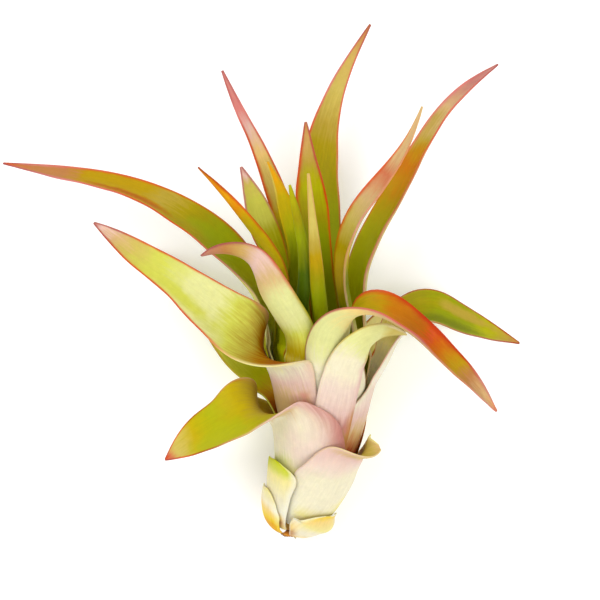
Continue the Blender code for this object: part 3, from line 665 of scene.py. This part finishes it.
def midrib_path(leaf):
    """The midrib with the blade's widths and turns: up the sheath's cone, then along the blade."""
    climbs = leaf.sheath * SHEATH_PINS
    centre, _, upper, right = stem_frame(leaf.root + climbs)
    pins = centre + cone_radius(leaf, climbs)[:, None] * outward(leaf.azimuth, upper, right)
    blade = np.array(leaf.blade)
    sheath = np.hstack((pins, np.tile(blade[0, 3:], (len(pins), 1))))
    return Path(np.vstack((sheath, blade)))


# A leaf's cross-sections, one row for each station: arcs round centre + inward * radius.
Sections = namedtuple("Sections", "centre inward side radius left right thickness share distance")


def station_distances(length, sheath_length, count):
    """Where the cross-sections lie: closer together in the neck between sheath and blade."""
    fine = np.linspace(0.0, length, 400)
    crowding = 1.0 + NECK_CROWDING * np.exp(-(((fine / sheath_length - NECK) / NECK_LENGTH) ** 2))
    travelled = np.cumsum(crowding)
    return np.interp(np.linspace(travelled[0], travelled[-1], count), travelled, fine)


def upper_face(along, turn):
    """The way the blade's upper face looks: straight up, turned round the midrib."""
    level = square_to(UP, along)
    angle = np.radians(turn)[:, None]
    return level * np.cos(angle) + np.cross(level, along) * np.sin(angle)


def sections(leaf):
    path = midrib_path(leaf)
    sheath_end = path.knots[len(SHEATH_PINS) - 1]
    distance = station_distances(path.knots[-1], sheath_end, STATIONS)
    rows = path.at(distance)
    along = path.direction(distance)
    climb = np.interp(distance, path.knots[: len(SHEATH_PINS)], leaf.sheath * SHEATH_PINS)
    _, stem_along, upper, right = stem_frame(leaf.root + climb)
    share = distance / sheath_end

    # A section lies square to the stem in the sheath, and square to the midrib in the blade.
    freed = ramp(share, *FREED)[:, None]
    normal = unit(mix(stem_along, along, freed))
    away = outward(leaf.azimuth, upper, right)
    inward = square_to(mix(-away, upper_face(along, rows[:, 5]), freed), normal)

    cone = cone_radius(leaf, climb)
    blade = np.maximum(rows[:, 3:5], TIP_HALF_WIDTH)
    narrowed = ramp(share, *NARROWED)
    channel = np.maximum(blade.mean(1) / math.radians(leaf.channel), TIGHTEST_CHANNEL)
    reach = [mix(cone * math.radians(leaf.wrap[i]), blade[:, i], narrowed) for i in (0, 1)]
    to_tip = np.clip((distance - sheath_end) / (path.knots[-1] - sheath_end), 0.0, 1.0)
    thickness = mix(leaf.thickness, mix(BLADE_THICKNESS, TIP_THICKNESS, to_tip**2), narrowed)
    radius = mix(cone, channel, ramp(share, *leaf.opened))
    side = np.cross(inward, normal)
    return Sections(rows[:, :3], inward, side, radius, *reach, thickness, share, distance)


def keep_outside(leaf, points, clinging):
    """Points inside this leaf's own cone are moved out to it, and clinging ones are drawn in to it."""
    heights = np.linspace(0.0, AXIS.knots[-1], 60)
    line = AXIS.at(heights)
    lengthwise = unit(line[-1] - line[0])
    height = np.interp(points @ lengthwise, line @ lengthwise, heights)
    centre = AXIS.at(height)
    away = points - centre
    distance = np.linalg.norm(away, axis=-1)
    shut = 1.0 - ramp(height, *CROWN_OPENS)
    floor = cone_radius(leaf, np.clip(height, leaf.root, CROWN_OPENS[0]) - leaf.root) * shut
    moved = (distance + floor + np.sqrt((distance - floor) ** 2 + SLIDE**2)) / 2.0
    moved = mix(moved, floor, clinging * shut)
    return centre + away * (moved / distance)[..., None]


def waves(leaf, distance, across):
    """How far the blade's margins wave off its smooth shape, none of it in the sheath."""
    rng = np.random.default_rng(WAVE_SEED + LEAVES.index(leaf))
    wave = np.zeros((len(distance), len(across)))
    for length in WAVE_LENGTHS:
        phases = rng.uniform(0.0, 2.0 * math.pi, 2)
        for side, phase in ((across < 0.0, phases[0]), (across >= 0.0, phases[1])):
            wave += np.sin(2.0 * math.pi * distance / length + phase)[:, None] * side * across**2
    return wave * WAVE_HEIGHT / len(WAVE_LENGTHS)


# A leaf's middle surface as a grid, with what its material needs to know at each point.
Surface = namedtuple("Surface", "points thickness across along reach distance to_margin")


def leaf_surface(leaf):
    s = sections(leaf)
    across = np.sin(np.linspace(-1.0, 1.0, STRIPS + 1) * math.pi / 2.0)
    across = mix(np.linspace(-1.0, 1.0, STRIPS + 1), across, MARGIN_CROWDING)
    side_reach = np.where(across < 0, s.left[:, None], s.right[:, None])
    reach = side_reach * across
    angle = (reach / s.radius[:, None])[..., None]
    outward_there = s.side[:, None] * np.sin(angle) - s.inward[:, None] * np.cos(angle)
    axis = (s.centre + s.inward * s.radius[:, None])[:, None]
    freed = ramp(s.share, *WAVES_START)[:, None]
    wave = waves(leaf, s.distance, across) * freed * np.minimum(1.0, side_reach / FULL_WAVE_REACH)
    points = axis + outward_there * (s.radius[:, None] + wave)[..., None]
    clinging = (1.0 - ramp(s.share, *CLUNG))[:, None] * ramp(across, 0.0, CLINGS_FROM) * leaf.clings
    points = keep_outside(leaf, points, clinging)
    thickness = mix(s.thickness[:, None], MARGIN_THICKNESS, np.abs(across) ** MARGIN_ROUNDNESS)
    spread = np.broadcast_to(across, reach.shape)
    distance = np.broadcast_to(s.distance[:, None], reach.shape)
    return Surface(
        points, thickness, spread, distance / s.distance[-1], reach, distance,
        side_reach * (1.0 - np.abs(spread)),
    )


def sheet_solid(points, thickness):
    """Vertices and faces of the closed solid of a sheet, given the points midway through it."""
    lower_normal = unit(np.cross(np.gradient(points, axis=1), np.gradient(points, axis=0)))
    offset = lower_normal * (np.asarray(thickness) / 2.0)[..., None]
    rows, columns = points.shape[:2]
    count = rows * columns
    grid = np.arange(count).reshape(rows, columns)
    faces = []
    for a in grid[:-1, :-1].ravel().tolist():
        b, c, d = a + 1, a + columns + 1, a + columns
        faces.append((a, b, c, d))
        faces.append((count + d, count + c, count + b, count + a))
    rim = np.concatenate((grid[0], grid[1:, -1], grid[-1, -2::-1], grid[-2:0:-1, 0])).tolist()
    for a, b in zip(rim, rim[1:] + rim[:1]):
        faces.append((b, a, count + a, count + b))
    return np.vstack(((points + offset).reshape(-1, 3), (points - offset).reshape(-1, 3))), faces


def add_object(name, data):
    made = bpy.data.objects.new(name, data)
    bpy.context.scene.collection.objects.link(made)
    return made


def add_piece(node, points, faces, made_of):
    """A piece from millimetre points that stands for a node of the frame."""
    mesh = bpy.data.meshes.new(node + "_fine")
    placed = points - PLANT_CENTRE
    placed[:, 2] = np.maximum(placed[:, 2], FLOOR_CLEARANCE)
    mesh.from_pydata(placed * MM, [], faces)
    mesh.shade_smooth()
    mesh.materials.append(made_of)
    piece = add_object(node + "_fine", mesh)
    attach(piece, "root")
    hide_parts(node)
    return piece


def describe(piece, across, along, reach, distance, to_margin=1.0, face=0.0):
    """What the materials read at each vertex: its place in shares and its grain in millimetres."""
    blank = np.zeros_like(along)
    attributes = {"place": (across, along, blank + face), "grain": (reach, distance, blank + to_margin)}
    for name, columns in attributes.items():
        layer = piece.data.attributes.new(name, "FLOAT_VECTOR", "POINT")
        layer.data.foreach_set("vector", np.column_stack(columns).astype(np.float32).ravel())


def add_leaf(leaf):
    surface = leaf_surface(leaf)
    points, faces = sheet_solid(surface.points, surface.thickness)
    look = LOOKS[leaf.name]
    piece = add_piece(leaf.name, points, faces, leaf_material(leaf.name, look))
    grids = (surface.across, surface.along, surface.reach, surface.distance, surface.to_margin)
    both_faces = [np.tile(grid.ravel(), 2) for grid in grids]
    describe(piece, *both_faces, face=np.repeat((0.0, 1.0), surface.across.size))


def tube_points(centre, upper, right, radii, sides):
    """Rings of points round these centres, (rings, sides, 3)."""
    angles = (np.arange(sides) * 2.0 * math.pi / sides)[None, :, None]
    ring = np.cos(angles) * upper[:, None] + np.sin(angles) * right[:, None]
    return centre[:, None] + ring * radii[..., None]


def tube_faces(rings, sides):
    """Faces of a closed tube of these rings."""
    top = (rings - 1) * sides
    faces = [tuple(range(sides - 1, -1, -1)), tuple(range(top, top + sides))]
    for i in range(0, top, sides):
        for j in range(sides):
            a, b = i + j, i + (j + 1) % sides
            faces.append((a, b, b + sides, a + sides))
    return faces


def add_stem():
    """The short stem with its fibres and its hollowed, dry cut end."""
    rows = np.array(STEM_RINGS)
    steps = np.linspace(0.0, len(rows) - 1.0, (len(rows) - 1) * STEM_RINGS_BETWEEN + 1)
    heights, radii = (np.interp(steps, range(len(rows)), rows[:, i]) for i in (0, 1))
    angles = np.arange(STEM_SIDES) * 2.0 * math.pi / STEM_SIDES
    rng = np.random.default_rng(WAVE_SEED)
    fibres = sum(np.sin(angles * n + rng.uniform(0.0, FIBRE_PHASES)) for n in FIBRES) / len(FIBRES)
    spread = radii[:, None] - FIBRE_HEIGHT * (1.0 + fibres) * np.clip(radii[:, None] / FIBRES_FROM, 0.0, 1.0)
    centre, _, upper, right = stem_frame(heights)
    points = tube_points(centre, upper, right, spread, STEM_SIDES).reshape(-1, 3)
    faces = tube_faces(len(heights), STEM_SIDES)
    piece = add_piece("stem", points, faces, dried_material("stem"))
    along = np.repeat(steps / steps[-1], STEM_SIDES)
    reach = np.tile(angles * STEM_RADIUS, len(heights))
    describe(piece, np.zeros_like(reach), along, reach, np.repeat(heights, STEM_SIDES))


def add_shred():
    """The torn scrap of an old leaf."""
    across = np.linspace(0.0, 1.0, SHRED_COLUMNS)
    along = np.linspace(0.0, 1.0, SHRED_ROWS)
    rows = [Path(stem_points(row)) for row in SHRED]
    curves = np.array([row.at(across * row.knots[-1]) for row in rows])
    points = np.empty((SHRED_ROWS, SHRED_COLUMNS, 3))
    tear = TEAR_HEIGHT * np.abs(np.sin(across * math.pi * TEARS)) * np.sin(across * math.pi)
    for j in range(SHRED_COLUMNS):
        line = Path(curves[:, j])
        points[:, j] = line.at(along * (line.knots[-1] - tear[j]))
    solid, faces = sheet_solid(points, SHRED_THICKNESS)
    piece = add_piece("dried_shred", solid, faces, dried_material("dried_shred"))
    spread, length = (np.tile(grid.ravel(), 2) for grid in np.meshgrid(across, along))
    describe(piece, spread, length, spread * SHRED_WIDTH, length * SHRED_LENGTH)


def add_root():
    """The short dried root beside the shred."""
    line = Path(stem_points(ROOT))
    distance = np.linspace(0.0, line.knots[-1], ROOT_RINGS)
    centre = line.at(distance)
    along = line.direction(distance)
    upper = square_to(UP, along)
    share = distance / distance[-1]
    knobs = 1.0 + KNOB_HEIGHT * np.sin(distance * KNOB_PACE)
    radii = ROOT_RADIUS * mix(1.0, ROOT_TIP, share**3) * knobs
    points = tube_points(centre, upper, np.cross(along, upper), radii[:, None], ROOT_SIDES).reshape(-1, 3)
    faces = tube_faces(ROOT_RINGS, ROOT_SIDES)
    piece = add_piece("dried_root", points, faces, dried_material("dried_root"))
    turns = np.tile(np.linspace(0.0, ROOT_GIRTH, ROOT_SIDES), ROOT_RINGS)
    describe(piece, turns, np.repeat(share, ROOT_SIDES), turns, np.repeat(distance, ROOT_SIDES))


class Graph:
    """The nodes of one material. Each input is a number, a colour or another node's output."""

    def __init__(self, name):
        self.material = bpy.data.materials.new(name)
        self.material.use_nodes = True
        self.tree = self.material.node_tree
        self.shader = self.tree.nodes["Principled BSDF"]

    def put(self, socket, value):
        if isinstance(value, bpy.types.NodeSocket):
            self.tree.links.new(value, socket)
        else:
            socket.default_value = value

    def node(self, kind, inputs, **settings):
        made = self.tree.nodes.new("ShaderNode" + kind)
        for name, value in settings.items():
            setattr(made, name, value)
        for key, value in inputs.items():
            self.put(made.inputs[key], value)
        return made

    def math(self, operation, a, b=0.0, c=0.0):
        return self.node("Math", {0: a, 1: b, 2: c}, operation=operation).outputs[0]

    def plus(self, a, b):
        return self.math("ADD", a, b)

    def times(self, a, b):
        return self.math("MULTIPLY", a, b)

    def scaled(self, value, by, start):
        """value * by + start."""
        return self.math("MULTIPLY_ADD", value, by, start)

    def fade(self, value, none, full):
        """0 at none and 1 at full, with an S-shaped way between."""
        inputs = {"Value": value, "From Min": none, "From Max": full}
        return self.node("MapRange", inputs, interpolation_type="SMOOTHSTEP").outputs["Result"]

    def blend(self, share, a, b):
        return self.node("Mix", {0: share, 6: a, 7: b}, data_type="RGBA").outputs[2]

    def noise(self, vector, scale, detail=2.0):
        inputs = {"Vector": vector, "Scale": scale, "Detail": detail}
        return self.node("TexNoise", inputs).outputs["Fac"]

    def stretched(self, vector, stretch):
        return self.node("VectorMath", {0: vector, 1: stretch}, operation="MULTIPLY").outputs[0]

    def attribute(self, name):
        return self.node("Attribute", {}, attribute_name=name).outputs["Vector"]

    def separate(self, vector):
        return self.node("SeparateXYZ", {0: vector}).outputs

    def ramp(self, share, text):
        """A colour ramp through the stops of a text, whose alpha is each colour's reach."""
        stops = read_stops(text)
        made = self.node("ValToRGB", {"Fac": share})
        elements = made.color_ramp.elements
        for place, _, _ in stops[2:]:
            elements.new(place)
        for element, (place, colour, reach) in zip(elements, stops):
            element.position = place
            element.color = (*linear(colour), reach)
        return made.outputs

    def skin(self, gloss, **values):
        """Set the shader's specular level, and its other inputs by their names."""
        self.shader.inputs["Specular IOR Level"].default_value = gloss
        for name, value in values.items():
            self.put(self.shader.inputs[name.replace("_", " ").title()], value)

    def bump(self, height, distance, strength):
        inputs = {"Height": height, "Distance": distance, "Strength": strength}
        self.put(self.shader.inputs["Normal"], self.node("Bump", inputs).outputs[0])


def read_stops(text):
    """The (share, colour, reach) of each stop in a text. The reach is 1 where none is given."""
    stops = []
    for stop in text.split(","):
        place, colour, *reach = stop.split()
        stops.append((int(place) / 100.0, colour, int(reach[0]) / 100.0 if reach else 1.0))
    return stops


def linear(colour):
    """The surface's own linear colour for one that looks so in the studio's light."""
    values = np.array(COLOURS[colour]) / 255.0
    light = np.where(values <= 0.04045, values / 12.92, ((values + 0.055) / 1.055) ** 2.4)
    return tuple(light / EXPOSED)


def tint_margin(graph, colour, stops, along, to_margin, to_margin_mm, blotches):
    """The colour with one margin's own laid over it, and a thin line of that at the very edge."""
    margin = graph.ramp(along, stops)
    reach = margin["Alpha"]
    ragged = graph.times(reach, graph.scaled(blotches, *MARGIN_FRAY))
    washed = graph.fade(to_margin, none=graph.plus(ragged, 0.001), full=0.0)
    line = graph.times(graph.fade(to_margin_mm, *EDGE_LINE), graph.fade(reach, *LINED_MARGIN))
    share = graph.math("MAXIMUM", washed, graph.times(line, LINE_STRENGTH))
    return graph.blend(share, colour, margin["Color"])


def tint_patch(graph, colour, patch, place, blotches):
    """The colour with a soft-edged patch laid over one face."""
    face, along, across, reach_along, reach_across, patch_colour = patch
    here_across, here_along, here_face = place
    x = graph.scaled(here_across, 1.0 / reach_across, -across / reach_across)
    y = graph.scaled(here_along, 1.0 / reach_along, -along / reach_along)
    apart = graph.math("SQRT", graph.plus(graph.times(x, x), graph.times(y, y)))
    apart = graph.plus(apart, graph.scaled(blotches, *PATCH_FRAY))
    on_face = graph.fade(here_face, none=1.0 - face, full=face)
    mask = graph.times(graph.fade(apart, *PATCH_EDGE), on_face)
    return graph.blend(mask, colour, (*linear(patch_colour), 1.0))


def leaf_material(name, look):
    """Living leaf skin: colours along both faces and margins, veins along the leaf, and pale scales."""
    graph = Graph(name)
    across, along, face = place = graph.separate(graph.attribute("place"))
    grain = graph.attribute("grain")
    to_margin_mm = graph.separate(grain)[2]
    seed = float(10 * list(LOOKS).index(name))
    flat = graph.stretched(grain, (1.0, 1.0, 0.0))
    skin = graph.node("VectorMath", {0: flat, 1: (0.0, 0.0, seed)}).outputs[0]

    drift = graph.noise(skin, DRIFT_SCALE)
    blotches = graph.noise(skin, BLOTCH_SCALE, detail=3.0)
    veins = graph.noise(graph.stretched(skin, VEIN_PACE), 1.0, detail=3.0)
    ragged = graph.plus(drift, graph.scaled(veins, *VEINS_SHIFT))
    shifted = graph.scaled(ragged, WANDER, along)
    lower = graph.ramp(shifted, look.lower)["Color"]
    upper = graph.ramp(shifted, look.upper)["Color"]
    colour = graph.blend(face, lower, upper)
    for patch in look.patches:
        colour = tint_patch(graph, colour, patch, place, blotches)
    from_left = graph.plus(across, 1.0)
    from_right = graph.math("SUBTRACT", 1.0, across)
    for stops, to_margin in ((look.left, from_left), (look.right or look.left, from_right)):
        colour = tint_margin(graph, colour, stops, shifted, to_margin, to_margin_mm, blotches)

    mottle = graph.noise(skin, MOTTLE_SCALE, detail=4.0)
    spread = graph.stretched(skin, SCALES_PACE)
    scales = graph.node("TexVoronoi", {"Vector": spread, "Scale": SCALES_SCALE}).outputs[0]
    shade = graph.scaled(veins, *VEINS_SHADE)
    shade = graph.plus(shade, graph.scaled(mottle, *MOTTLE_SHADE))
    shade = graph.plus(shade, graph.times(graph.fade(scales, *SCALES_EDGE), SCALES_SHADE))
    inputs = {"Color": colour, "Saturation": RICHNESS, "Value": shade}
    colour = graph.node("HueSaturation", inputs).outputs[0]

    relief = graph.plus(graph.times(veins, VEINS_RELIEF), graph.times(scales, SCALES_RELIEF))
    graph.bump(relief, SKIN_DEPTH, strength=0.4)
    graph.skin(
        gloss=0.1, base_color=colour, roughness=graph.scaled(mottle, *MOTTLE_ROUGHNESS),
        subsurface_weight=0.2, subsurface_scale=0.0015, subsurface_radius=(1.0, 0.7, 0.25),
    )
    return graph.material


def dried_material(name):
    """Dry brown fibre, streaked along its length."""
    stops, blotch_scale = DRIED_LOOKS[name]
    graph = Graph(name)
    along = graph.separate(graph.attribute("place"))[1]
    grain = graph.attribute("grain")
    fibres = graph.noise(graph.stretched(grain, DRY_FIBRE_PACE), 1.0, detail=4.0)
    blotches = graph.noise(grain, blotch_scale, detail=3.0)
    shifted = graph.plus(along, graph.scaled(blotches, *DRY_SHIFT))
    colour = graph.ramp(shifted, stops)["Color"]
    shade = graph.scaled(fibres, *FIBRES_SHADE)
    colour = graph.node("HueSaturation", {"Color": colour, "Value": shade}).outputs[0]
    graph.bump(fibres, DRY_DEPTH, strength=0.7)
    graph.skin(gloss=0.2, base_color=colour, roughness=0.75)
    return graph.material


def add_camera():
    """Straight above the plant, which lies on its side, as the photograph sees it upright."""
    camera = bpy.data.cameras.new("camera")
    camera.lens = CAMERA_LENS
    camera.sensor_width = CAMERA_SENSOR
    seat = add_object("camera", camera)
    seat.location = np.array(CAMERA_PLACE) * MM
    bpy.context.scene.camera = seat


def add_floor():
    """A white studio table, far wider than the view."""
    half = FLOOR_SIZE / 2.0
    corners = [(-half, -half), (half, -half), (half, half), (-half, half)]
    mesh = bpy.data.meshes.new("floor")
    mesh.from_pydata([(x, y, -FLOOR_DEPTH) for x, y in corners], [], [(0, 1, 2, 3)])
    graph = Graph("floor")
    paper = graph.noise(graph.node("TexCoord", {}).outputs["Object"], FLOOR_GRAIN)
    shade = graph.scaled(paper, *PAPER_SHADE)
    colour = graph.node("CombineColor", {0: shade, 1: shade, 2: shade}).outputs[0]
    graph.skin(
        gloss=0.1, base_color=colour, roughness=0.9,
        emission_color=WHITE, emission_strength=FLOOR_GLOW,
    )
    mesh.materials.append(graph.material)
    floor = add_object("floor", mesh)


def add_light(name, place, size, power):
    lamp = bpy.data.lights.new(name, "AREA")
    lamp.shape = "DISK"
    lamp.size = size
    lamp.energy = power
    light = add_object(name, lamp)
    light.location = place
    light.rotation_euler = (Vector(AIM) - Vector(place)).to_track_quat("-Z", "Y").to_euler()
    light.visible_camera = False


def add_world():
    world = bpy.data.worlds.new("studio")
    world.use_nodes = True
    background = world.node_tree.nodes["Background"]
    background.inputs["Color"].default_value = WHITE
    background.inputs["Strength"].default_value = WORLD_STRENGTH
    bpy.context.scene.world = world


def main():
    bpy.context.scene.view_settings.view_transform = "Standard"
    add_camera()
    add_floor()
    add_world()
    for light in LIGHTS:
        add_light(*light)
    add_stem()
    add_shred()
    add_root()
    for leaf in LEAVES:
        add_leaf(leaf)


main()
